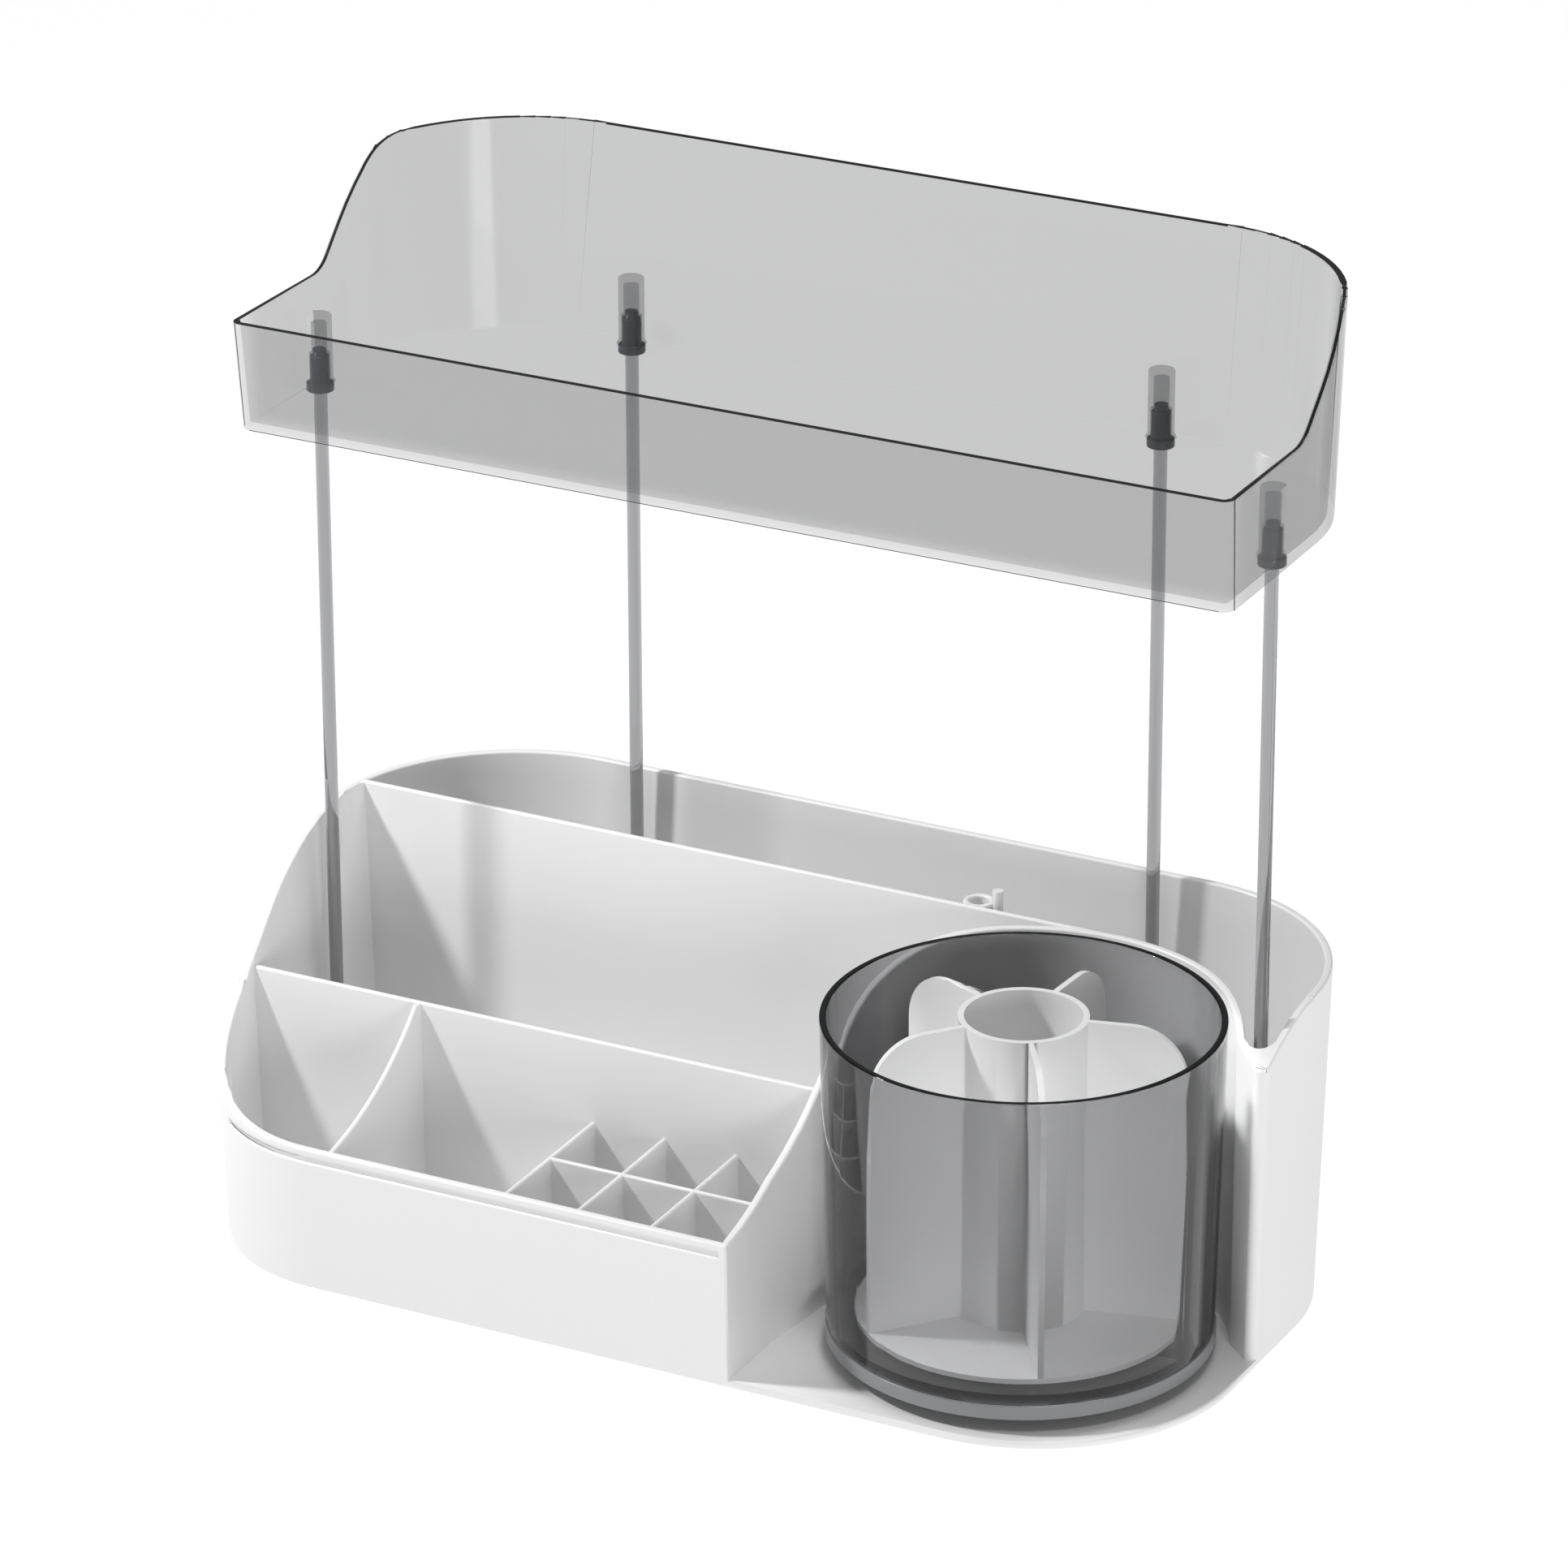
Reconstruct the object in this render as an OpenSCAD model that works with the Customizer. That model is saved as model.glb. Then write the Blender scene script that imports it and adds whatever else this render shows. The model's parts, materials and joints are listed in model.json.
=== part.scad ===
// Two-tier makeup organizer. A one-piece base housing has open compartments and a
// lipstick grid. A brush cup turns on a ball race in the housing's round bay, and a
// clear tray stands above it all on four clear rods.
// Sizes are in millimetres. X runs across the front, Y to the back and Z up.
// Design heights count from the housing's underside; place() stands it on its feet.

/* [Housing] */
// Width across the side rims
organizer_w = 321; // [315:1:340]
// Depth from the front to the back rim
housing_d = 172; // [168:1:190]
// Height of the back rim above the underside
rim_h = 105.8; // [98:0.1:115]
// Height of the front rim above the underside
front_h = 45.2; // [40:0.1:52]
// Thickness of the outer walls
wall = 2.4; // [1.8:0.1:3]
// Thickness of the floor, which is also the bay's plate
floor_t = 2.5; // [2.2:0.1:4]
// Outward lean of the outer walls, in degrees
draft_a = 1.5; // [0:0.1:2]
// Radius of the front left corner
front_corner_r = 52; // [30:1:60]
// Radius of the plate's front right corner
plate_corner_r = 64; // [40:1:70]
// Radius of the back corners
back_corner_r = 61; // [40:1:70]
// Depth of the line pressed in under the front rim
groove_d = 0.7; // [0.3:0.1:1]
// Height of that line
groove_h = 1.8; // [1:0.1:3]
// Distance from the front rim down to the line
groove_drop = 2.1; // [1:0.1:5]
// Distance that the line runs back around the left corner
groove_run = 14; // [5:1:30]

/* [Side rim] */
// Distance from the front at which the rim gets level
crest_y = 117.1; // [110:0.1:125]
// Radius of the crest
crest_r = 70; // [50:1:85]
// Slope of the straight run
rise_a = 45; // [40:1:50]
// Length of the straight run
rise_run = 19.8; // [10:0.1:25]

/* [Dividers] */
// Thickness of the dividers
divider_t = 1.8; // [1.2:0.1:2.6]
// Distance from the front to the back of the divider behind the front row
front_row_y = 57.8; // [54:0.1:62]
// Height of that divider
front_row_h = 71.6; // [60:0.1:75]
// Distance from the middle to the divider in the front row
side_divider_x = 101; // [80:1:110]
// Clear width of a lipstick cell
cell_w = 22; // [18:0.1:24]
// Number of lipstick cells side by side
cell_cols = 3; // [2:1:4]
// Thickness of the lipstick grid
grid_t = 1.6; // [1.2:0.1:2.4]

/* [Bay] */
// Gap between the cup's rim and the bay's wall
bay_gap = 2.4; // [1.5:0.1:4]
// Distance from the bay's round wall to the side rim
bay_side = 7.5; // [5:0.1:12]
// Distance from the front to the cup's rim
plate_margin = 4.2; // [2:0.1:8]
// Step from the bay's round wall to its straight wall
bay_step = 3.4; // [2:0.1:6]
// Distance from the front at which the straight wall starts to bend
bay_bend_y = 30; // [20:1:40]
// Angle at which the round wall passes into the flare
flare_a = 25.2; // [20:0.1:30]
// Distance from the drum's axis back to the end of the flare
flare_end = 14; // [8:0.1:18]
// Radius of the corner between the flare and the side wall, at the rim
flare_corner_r = 2.8; // [1:0.1:3.6]
// Radius inside that corner
flare_inner_r = 4.4; // [3:0.1:5.5]

/* [Holder behind the bay] */
// Distance from the drum's axis across to the holder's axis
holder_aside = 46.3; // [40:0.1:50]
// Outer radius of the holder
holder_r = 4.8; // [4.2:0.1:6]
// Radius of its hole
holder_hole_r = 3; // [2:0.1:3.4]
// Depth of its hole
holder_depth = 20; // [10:1:40]
// Radius of the peg beside the holder
peg_r = 1.6; // [1.2:0.1:2.2]
// Height of the peg above the rim
peg_rise = 4; // [2:0.1:6]

/* [Rods] */
// Radius of a rod
rod_r = 2; // [1.6:0.1:2.4]
// Length of a rod
rod_len = 249.3; // [200:0.1:300]
// Distance from the side rim to the side rods
side_rod_inset = 8.8; // [8.4:0.1:12]
// Distance from the drum's axis back to the side rods
side_rod_back = 32.3; // [30:0.1:38]
// Distance from the side rims to the back rods
back_rod_side = 74.6; // [68:0.1:80]
// Distance from the back rim to the back rods
back_rod_inset = 8.4; // [8:0.1:12]
// Wall of the sockets that hold the rods
socket_wall = 2.1; // [1.5:0.1:3]
// Height of the sockets above the housing's floor
socket_h = 15.5; // [10:0.5:25]

/* [Rod caps] */
// Radius of a cap's flange
flange_r = 4; // [3.9:0.1:4.5]
// Thickness of the flange
flange_t = 2.4; // [1.6:0.1:3]
// Radius of a cap's body
cap_r = 2.8; // [2.7:0.1:3]
// Height of the body above the flange
cap_h = 8.4; // [6:0.1:10]
// Radius of a cap's tip
tip_r = 2; // [1.6:0.1:2.2]
// Height of the tip
tip_h = 2; // [1:0.1:3]
// Thickness of the cap over the end of the rod
cap_top_t = 1; // [0.8:0.1:1.6]

/* [Upper tray] */
// Depth of the tray across its rim
tray_d = 126.9; // [120:0.1:130]
// Height of the tray's back rim above its underside
tray_back_h = 65.2; // [60:0.1:72]
// Height of the tray's front rim above its underside
tray_front_h = 33.3; // [28:0.1:38]
// Thickness of the tray's walls
tray_wall = 2; // [1.5:0.1:2.5]
// Thickness of the tray's floor
tray_floor_t = 2; // [1.6:0.1:3]
// Lean of the tray's side walls
tray_side_a = 1.2; // [0.5:0.1:1.2]
// Lean of the tray's front and back walls
tray_end_a = 5; // [1:0.1:5.5]
// Radius of the tray's front corners
tray_front_r = 3.5; // [3:0.5:20]
// Radius of the tray's back corners
tray_back_r = 57; // [40:1:60]
// Distance from the side rods to the tray's side rim
tray_side_reach = 6; // [6:0.1:8]
// Distance from the back rods to the tray's back rim
tray_back_reach = 13.7; // [13:0.1:16]
// Distance from the front at which the tray's side rim starts to rise
tray_step_y = 98.6; // [90:0.1:102]
// Radius at the foot of that rise
step_foot_r = 12; // [6:1:16]
// Radius at the top of that rise
step_top_r = 20; // [10:1:26]
// Outer radius of the bosses that sit on the caps
boss_r = 3.85; // [3.8:0.05:4]
// Height of a boss above the tray's floor
boss_h = 21.5; // [16:0.1:26]
// Outer radius of a boss's foot
boss_foot_r = 4.5; // [4.4:0.1:4.6]
// Depth of the seat for the flange in the tray's underside
seat_depth = 2.6; // [2.4:0.1:2.8]
// Depth of the narrow top end of a boss's hole
tip_hole_h = 10; // [4:0.1:12]

/* [Brush cup] */
// Outer radius of the cup at its base
cup_base_r = 55.7; // [54:0.1:58]
// Widening of the cup's radius from its base to its rim
cup_flare = 2.1; // [0:0.1:3]
// Thickness of the cup's wall
cup_wall = 2; // [1.5:0.1:2.5]
// Thickness of the cup's floor
cup_floor_t = 3; // [2.6:0.1:4]

/* [Brush insert] */
// Outer radius of the middle tube
tube_r = 18.7; // [14:0.1:22]
// Thickness of the tube and of the vanes
vane_t = 1.8; // [1.4:0.1:2.4]
// Number of vanes
vane_count = 5; // [3:1:7]
// Gap between the vanes and the foot of the cup's wall
vane_gap = 6.2; // [3:0.1:12]
// Radius of the vanes' upper outer corner
vane_corner_r = 16; // [4:0.5:20]
// Angle of the first vane
vane_a = 14.5; // [0:0.5:71]
// Thickness of the insert's floor
insert_floor_t = 1.6; // [1.2:0.1:2.4]
// Height of the insert above the cup's rim
insert_rise = 0.3; // [0:0.1:4]

/* [Turntable] */
// Distance that the disc reaches past the cup's base
disc_lip = 0.4; // [0:0.1:2]
// Thickness of the disc's rim
disc_rim_t = 4.3; // [1.6:0.1:4.5]
// Thickness of the disc over the balls
disc_t = 4.3; // [3.8:0.1:5]
// Radius of the circle that the balls run on
ball_circle_r = 40; // [36:0.5:44]
// Radius of a ball
ball_r = 2; // [1.8:0.1:2.2]
// Number of balls
ball_count = 24; // [12:1:30]
// Width of the race
race_w = 12; // [9:0.5:13]
// Thickness of the race
race_t = 2.2; // [1.8:0.1:2.6]
// Depth of the groove for the balls
ball_groove_d = 1; // [0.8:0.1:1.2]
// Width of the cage
cage_w = 8; // [7:0.5:9]
// Thickness of the cage
cage_t = 1.2; // [1:0.1:1.4]
// Radius of the pivot pin
pin_r = 4; // [3:0.1:5]
// Radius of the pin's head
pin_head_r = 6; // [5.6:0.1:8]
// Thickness of the pin's head
pin_head_t = 1.1; // [0.8:0.1:1.2]
// Outer radius of the washer
washer_r = 7.5; // [6.5:0.1:9]
// Thickness of the washer, and of the clip above it
washer_t = 0.6; // [0.5:0.1:0.7]
// Depth of the clip's groove in the pin
clip_groove_d = 0.4; // [0.3:0.1:0.6]
// Radius of the circle of screws
screw_circle_r = 30; // [20:0.5:31]
// Number of screws
screw_count = 3; // [3:1:6]
// Radius of a screw's shank
screw_r = 1.5; // [1.2:0.1:1.8]
// Radius of a screw's head
screw_head_r = 3; // [2.6:0.1:3.2]

/* [Feet] */
// Radius of a foot
foot_r = 8; // [6:0.5:12]
// Height of a foot below the underside
foot_proud = 0.6; // [0.4:0.1:1.5]
// Depth of the recess that holds a foot
foot_recess = 0.8; // [0.5:0.1:1.2]
// Distance from the side rim to a foot's centre
foot_inset_x = 42.5; // [36:0.5:50]
// Distance from the front and back rims to a foot's centre
foot_inset_y = 32; // [28:0.5:40]

/* [Fits] */
// Gap around pieces that are fitted once
fit_gap = 0.1; // [0.05:0.05:0.2]
// Gap around the turning disc's bore
run_gap = 0.05; // [0.02:0.01:0.1]
// Gap around the caps in the tray's bosses
slide_gap = 0.3; // [0.2:0.05:0.4]
// Gap under pieces that are set down and can be lifted off
rest_gap = 0.1; // [0.05:0.05:0.3]
// Gap above and below the balls' cage
cage_gap = 0.4; // [0.3:0.1:0.5]

/* [Hidden] */

$fn = 96;
shell_white = [0.95, 0.95, 0.94];
smoke = [0.62, 0.63, 0.66, 0.6];
clear = [0.8, 0.85, 0.9, 0.6];

// Cup, bay and dividers
cup_r = cup_base_r + cup_flare;
vane_r = cup_base_r - cup_wall - vane_gap;
disc_r = cup_base_r + disc_lip;
niche_r = cup_r + bay_gap;
drum_x = organizer_w / 2 - niche_r - bay_side;
drum_y = cup_r + plate_margin;
bay_x = drum_x - niche_r - bay_step;
holder_x = drum_x - holder_aside;
back_row_y = drum_y + niche_r + wall - 0.2;
groove_top = front_h - groove_drop;

// Rods, caps and tray
side_rod_x = organizer_w / 2 - side_rod_inset;
side_rod_y = drum_y + side_rod_back;
back_rod_x = organizer_w / 2 - back_rod_side;
back_rod_y = housing_d - back_rod_inset;
ROD_AT = [[-side_rod_x, side_rod_y], [-back_rod_x, back_rod_y],
  [back_rod_x, back_rod_y], [side_rod_x, side_rod_y]];
rod_top = floor_t + rod_len;
cap_z = rod_top + cap_top_t - cap_h - flange_t;
tray_z = cap_z + flange_t + rest_gap - seat_depth;
tray_w = 2 * (side_rod_x + tray_side_reach);
tray_back_y = back_rod_y + tray_back_reach;
tray_mid_y = tray_back_y - tray_d / 2;

// Turntable, from the floor up
groove_r = ball_r + run_gap;
race_top = floor_t + race_t;
ball_z = race_top - ball_groove_d + ball_r;
disc_z = 2 * ball_z - race_top;
cage_z = race_top + cage_gap;
cup_z = disc_z + disc_t;
clip_top = cup_z - 0.4;
recess_z = clip_top - 2 * washer_t;
pin_top = cup_z - 0.2;
insert_z = cup_z + cup_floor_t + rest_gap;

// The feet's places, and the middle of the whole in Y
FOOT_X = organizer_w / 2 - foot_inset_x;
FOOT_AT = [[-FOOT_X, foot_inset_y], [-FOOT_X, housing_d - foot_inset_y],
  [FOOT_X, housing_d - foot_inset_y], [FOOT_X, foot_inset_y]];
mid_y = (lean(front_h) + max(housing_d, tray_back_y)) / 2;

// The flare's line in plan, from the bay's round wall to the side wall
flare_from = [drum_x, drum_y] + niche_r * [cos(flare_a), sin(flare_a)];
flare_to = [organizer_w / 2, drum_y + flare_end];
flare_run = (flare_to - flare_from) / norm(flare_to - flare_from);
flare_out = [-flare_run[1], flare_run[0]];

// The side rim, as seen from the right: a sag from the front rim, a straight run
// and a crest that ends level. The sag's arc starts at the front rim and is tangent
// to the straight run.
rise_normal = [-sin(rise_a), cos(rise_a)];
crest_c = [crest_y, rim_h - crest_r];
run_top = crest_c + crest_r * rise_normal;
run_foot = run_top - rise_run * [cos(rise_a), sin(rise_a)];
to_front = [0, front_h] - run_foot;
sag_r = (to_front * to_front) / (2 * (to_front * rise_normal));
sag_c = run_foot + sag_r * rise_normal;
sag_start_a = atan2(front_h - sag_c[1], -sag_c[0]);
rim_line = concat(
  [[-20, front_h]],
  arc_points(sag_c, sag_r, sag_start_a, rise_a - 90, 20),
  arc_points(crest_c, crest_r, 90 + rise_a, 90, 20),
  [[housing_d + 20, rim_h]]);

// The tray's side rim: level, up a slope of the same kind, and level again
step_rise = tray_back_h - tray_front_h - (step_foot_r + step_top_r) * (1 - cos(45));
step_foot_c = [tray_step_y, tray_front_h + step_foot_r];
step_top_y = tray_step_y + (step_foot_r + step_top_r) * sin(45) + step_rise;
step_top_c = [step_top_y, tray_back_h - step_top_r];
tray_rim_line = concat(
  [[-20, tray_front_h]],
  arc_points(step_foot_c, step_foot_r, -90, -45, 8),
  arc_points(step_top_c, step_top_r, 135, 90, 8),
  [[tray_back_y + 20, tray_back_h]]);

// Inset of the housing's outer face at height z, against its rim
function lean(z) = (rim_h - z) * tan(draft_a);

function arc_points(c, r, a0, a1, n) =
  [for (i = [0:n]) c + r * [cos(a0 + (a1 - a0) * i / n), sin(a0 + (a1 - a0) * i / n)]];

// Corner points of a plan centred on the origin, with a radius for each corner
function plan_points(w, d, fl, fr, br, bl) = concat(
  arc_points([-w / 2 + fl, -d / 2 + fl], fl, 180, 270, 20),
  arc_points([w / 2 - fr, -d / 2 + fr], fr, 270, 360, 20),
  arc_points([w / 2 - br, d / 2 - br], br, 0, 90, 20),
  arc_points([-w / 2 + bl, d / 2 - bl], bl, 90, 180, 20));

// Moves a piece from the design's datum to its place over the origin
module place() {
  translate([0, -mid_y, foot_proud]) children();
}

module at_drum() {
  translate([drum_x, drum_y, 0]) children();
}

module ring(r_out, r_in, h) {
  difference() {
    cylinder(r = r_out, h = h);
    translate([0, 0, -1]) cylinder(r = r_in, h = h + 2);
  }
}

// Everything above a line of [y, z] points, across the whole width
module above(line, top) {
  last = line[len(line) - 1];
  rotate([90, 0, 90])
    linear_extrude(organizer_w + 80, center = true)
      polygon(concat(line, [[last[0], top], [line[0][0], top]]));
}

// The housing's outer form, inset evenly, from height z0 to z1
module leaning_block(inset, z0, z1) {
  g = inset + lean(z0);
  w0 = organizer_w - 2 * g;
  d0 = housing_d - 2 * g;
  shrink = 2 * (lean(z0) - lean(z1));
  translate([0, housing_d / 2, z0])
    linear_extrude(z1 - z0, slices = 1, scale = [(w0 + shrink) / w0, (d0 + shrink) / d0])
      polygon(plan_points(w0, d0, front_corner_r - g, plate_corner_r - g,
        back_corner_r - g, back_corner_r - g));
}

// The bay's plan, grown by g: the round niche, the straight side on its left and
// the flare on its right
module bay_2d(g) {
  turn = drum_x - niche_r;
  translate([drum_x, drum_y]) circle(r = niche_r + g);
  polygon([
    [bay_x - g, -20],
    [bay_x - g, bay_bend_y],
    [turn - g + 0.3 * bay_step, drum_y + 0.3 * (drum_y - bay_bend_y)],
    [drum_x, drum_y],
    flare_from - 3 * flare_run + g * flare_out,
    flare_to + 30 * flare_run + g * flare_out,
    flare_to + [40, -drum_y],
    [flare_to[0] + 40, -20]]);
}

// Rounds the corner between the flare and the side wall, both inset by g, to radius r
// at the rim. It leans with the side wall, and reaches past the corner by the distance
// beyond.
module flare_corner(g, r, beyond, z0) {
  z1 = rim_h + 1;
  start = flare_from + g * flare_out;
  x0 = organizer_w / 2 - g - lean(z0) - start[0];
  x1 = organizer_w / 2 - g - lean(z1) - start[0];
  corner = flare_run * x1 / flare_run[0];
  back = r / tan(acos(-flare_run[1]) / 2);
  flare_point = corner - back * flare_run;
  side_point = corner + [0, back];
  rounding = arc_points(side_point - [r, 0], r,
    180 + atan2(flare_out[1], flare_out[0]), 360, 10);
  translate([start[0], start[1], z0])
    linear_extrude(z1 - z0, slices = 1, scale = x1 / x0)
      polygon(x0 / x1 * concat(rounding, [side_point + [beyond, 0],
        corner + [beyond, -beyond], flare_point - beyond * flare_out]));
}

// Walls that rise to the side rim
module tall_walls_2d() {
  bay_2d(wall);
  translate([-organizer_w / 2, back_row_y - divider_t])
    square([organizer_w / 2 + drum_x - 2, divider_t]);
}

// The divider in the front row
module side_divider_2d() {
  translate([-side_divider_x - divider_t / 2, 0])
    square([divider_t, front_row_y - divider_t / 2]);
}

// The divider behind the front row, up to the bay's wall
module front_row_2d() {
  translate([-organizer_w / 2, front_row_y - divider_t])
    square([organizer_w / 2 + drum_x - niche_r - wall / 2, divider_t]);
}

// The lipstick grid, two cells deep, between the front wall and that divider
module grid_2d() {
  left = bay_x - wall - cell_cols * (cell_w + grid_t);
  front_in = wall + lean(front_h / 2);
  middle = (front_in + front_row_y - divider_t) / 2;
  for (i = [0:cell_cols - 1])
    translate([left + i * (cell_w + grid_t), 0])
      square([grid_t, front_row_y - divider_t / 2]);
  translate([left + grid_t / 2, middle - grid_t / 2])
    square([bay_x - wall / 2 - left - grid_t / 2, grid_t]);
}

// Inner walls of one height, cut off inside the outer wall
module inner_walls(h) {
  intersection() {
    leaning_block(wall / 2, floor_t / 2, rim_h + 1);
    linear_extrude(h) children();
  }
}

// A post standing behind the back divider with a blind hole, and a peg beside it
module holder() {
  holder_y = back_row_y + holder_r - 0.8;
  translate([holder_x, holder_y, floor_t / 2])
    difference() {
      cylinder(r = holder_r, h = rim_h - floor_t / 2);
      translate([0, 0, rim_h - floor_t / 2 - holder_depth])
        cylinder(r = holder_hole_r, h = holder_depth + 1);
    }
  translate([holder_x + holder_r + peg_r - 0.4, holder_y, floor_t / 2])
    cylinder(r = peg_r, h = rim_h - floor_t / 2 + peg_rise);
}

// The line pressed into the outside, under the front rim
module front_line() {
  z0 = groove_top - groove_h;
  difference() {
    intersection() {
      leaning_block(-2, z0, groove_top);
      translate([-organizer_w, -10, 0])
        cube([organizer_w + bay_x - 3, groove_run + 10, rim_h]);
    }
    leaning_block(groove_d, z0 - 1, groove_top + 1);
  }
}

module housing() {
  color(shell_white)
    place()
      difference() {
        union() {
          difference() {
            union() {
              difference() {
                leaning_block(0, 0, rim_h + 1);
                leaning_block(wall, floor_t, rim_h + 2);
              }
              inner_walls(rim_h + 0.5) tall_walls_2d();
              inner_walls(front_row_h) side_divider_2d();
              flare_corner(wall, flare_inner_r, wall / 2, floor_t / 2);
            }
            above(rim_line, rim_h + 40);
          }
          inner_walls(front_row_h) front_row_2d();
          inner_walls(front_h) grid_2d();
          holder();
          for (p = ROD_AT)
            translate([p[0], p[1], floor_t / 2])
              cylinder(r = rod_r + fit_gap + socket_wall, h = floor_t / 2 + socket_h);
        }
        // The bay is open down to the plate
        translate([0, 0, floor_t]) linear_extrude(rim_h + 40) bay_2d(0);
        flare_corner(0, flare_corner_r, 8, floor_t);
        for (p = ROD_AT)
          translate([p[0], p[1], floor_t])
            cylinder(r = rod_r + fit_gap, h = socket_h + 1);
        front_line();
        // Pivot hole with a seat for the pin's head, and the recesses for the feet
        at_drum() {
          translate([0, 0, -1]) cylinder(r = pin_r + fit_gap, h = floor_t + 2);
          translate([0, 0, -1]) cylinder(r = pin_head_r + fit_gap, h = pin_head_t + 1);
        }
        for (p = FOOT_AT)
          translate([p[0], p[1], -1])
            cylinder(r = foot_r + fit_gap, h = foot_recess + 1);
      }
}

// The tray's outer form, inset evenly, between heights above its underside
module tray_block(inset, z0, z1) {
  side = tan(tray_side_a);
  end = tan(tray_end_a);
  w0 = tray_w - 2 * inset - 2 * (tray_back_h - z0) * side;
  d0 = tray_d - 2 * inset - 2 * (tray_back_h - z0) * end;
  w1 = w0 + 2 * (z1 - z0) * side;
  d1 = d0 + 2 * (z1 - z0) * end;
  front = tray_front_r - inset;
  back = tray_back_r - inset;
  translate([0, tray_mid_y, z0])
    linear_extrude(z1 - z0, slices = 1, scale = [w1 / w0, d1 / d0])
      polygon(plan_points(w0, d0, front, front, back, back));
}

module upper_tray() {
  foot_top = max(tray_floor_t + 0.8, seat_depth + 0.8);
  color(smoke)
    place()
      translate([0, 0, tray_z])
        difference() {
          union() {
            difference() {
              tray_block(0, 0, tray_back_h + 1);
              tray_block(tray_wall, tray_floor_t, tray_back_h + 2);
              above(tray_rim_line, tray_back_h + 40);
            }
            for (p = ROD_AT)
              translate([p[0], p[1], tray_floor_t / 2]) {
                cylinder(r = boss_r, h = tray_floor_t / 2 + boss_h);
                cylinder(r = boss_foot_r, h = foot_top - tray_floor_t / 2);
              }
          }
          for (p = ROD_AT)
            translate([p[0], p[1], -1]) {
              cylinder(r = flange_r + fit_gap, h = seat_depth + 1);
              cylinder(r = cap_r + slide_gap, h = seat_depth + cap_h + 1.5);
              cylinder(r = tip_r + slide_gap,
                h = seat_depth + cap_h + tip_hole_h + 1);
            }
        }
}

module rod(i) {
  color(clear)
    place()
      translate([ROD_AT[i][0], ROD_AT[i][1], floor_t]) cylinder(r = rod_r, h = rod_len);
}

// A cap is pushed over the rod's end, and its flange carries the tray
module rod_cap(i) {
  color("gray")
    place()
      translate([ROD_AT[i][0], ROD_AT[i][1], cap_z])
        difference() {
          union() {
            cylinder(r = flange_r, h = flange_t);
            cylinder(r = cap_r, h = flange_t + cap_h);
            cylinder(r = tip_r, h = flange_t + cap_h + tip_h);
          }
          translate([0, 0, -1]) cylinder(r = rod_r + fit_gap, h = rod_top - cap_z + 1);
        }
}

module post_front_left() { rod(0); }
module post_back_left() { rod(1); }
module post_back_right() { rod(2); }
module post_front_right() { rod(3); }
module post_cap_front_left() { rod_cap(0); }
module post_cap_back_left() { rod_cap(1); }
module post_cap_back_right() { rod_cap(2); }
module post_cap_front_right() { rod_cap(3); }

module at_screws() {
  for (i = [0:screw_count - 1])
    rotate([0, 0, 90 + i * 360 / screw_count])
      translate([screw_circle_r, 0, 0]) children();
}

// The smoke-coloured cup, screwed down on the turntable's disc
module drum_cup() {
  cup_h = rim_h - cup_z;
  slope = (cup_r - cup_base_r) / cup_h;
  inner_base = cup_base_r - cup_wall + slope * cup_floor_t;
  inner_top = cup_r - cup_wall + slope;
  head_h = screw_head_r - screw_r;
  color(smoke)
    place()
      at_drum()
        translate([0, 0, cup_z])
          difference() {
            cylinder(r1 = cup_base_r, r2 = cup_r, h = cup_h);
            translate([0, 0, cup_floor_t])
              cylinder(r1 = inner_base, r2 = inner_top, h = cup_h - cup_floor_t + 1);
            at_screws() {
              translate([0, 0, -1]) cylinder(r = screw_r + fit_gap, h = cup_floor_t + 2);
              translate([0, 0, cup_floor_t - head_h])
                cylinder(r1 = screw_r + fit_gap, r2 = screw_head_r + fit_gap,
                  h = head_h);
            }
          }
}

// A tube with vanes around it on a round floor; it lifts out of the cup
module brush_insert() {
  h = rim_h + insert_rise - insert_z;
  corner = arc_points([vane_r - vane_corner_r, h - vane_corner_r], vane_corner_r, 0, 90, 12);
  color(shell_white)
    place()
      at_drum()
        translate([0, 0, insert_z])
          difference() {
            union() {
              cylinder(r = vane_r, h = insert_floor_t);
              cylinder(r = tube_r, h = h);
              for (i = [0:vane_count - 1])
                rotate([90, 0, vane_a + i * 360 / vane_count])
                  linear_extrude(vane_t, center = true)
                    polygon(concat([[tube_r - vane_t, 0.4], [vane_r - 0.2, 0.4]],
                      [for (p = corner) p - [0.2, 0]], [[tube_r - vane_t, h]]));
            }
            translate([0, 0, insert_floor_t]) cylinder(r = tube_r - vane_t, h = h);
          }
}

// The turning disc, with a groove for the balls underneath and a recess for the
// washer and clip on top
module turntable_disc() {
  inner_r = ball_circle_r + race_w / 2 + 2;
  color(shell_white)
    place()
      at_drum()
        difference() {
          union() {
            translate([0, 0, disc_z]) cylinder(r = inner_r, h = disc_t);
            translate([0, 0, cup_z - disc_rim_t]) ring(disc_r, inner_r - 1, disc_rim_t);
          }
          translate([0, 0, disc_z - 1]) cylinder(r = pin_r + run_gap, h = disc_t + 2);
          translate([0, 0, recess_z]) cylinder(r = washer_r + 0.5, h = disc_t);
          translate([0, 0, ball_z])
            rotate_extrude() translate([ball_circle_r, 0]) circle(r = groove_r, $fn = 48);
          at_screws()
            translate([0, 0, disc_z + 0.5]) cylinder(r = screw_r + fit_gap, h = disc_t);
        }
}

// The fixed ring that the balls run on
module turntable_race() {
  color("silver")
    place()
      at_drum()
        difference() {
          translate([0, 0, floor_t])
            ring(ball_circle_r + race_w / 2, ball_circle_r - race_w / 2, race_t);
          translate([0, 0, ball_z])
            rotate_extrude() translate([ball_circle_r, 0]) circle(r = groove_r, $fn = 48);
        }
}

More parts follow.
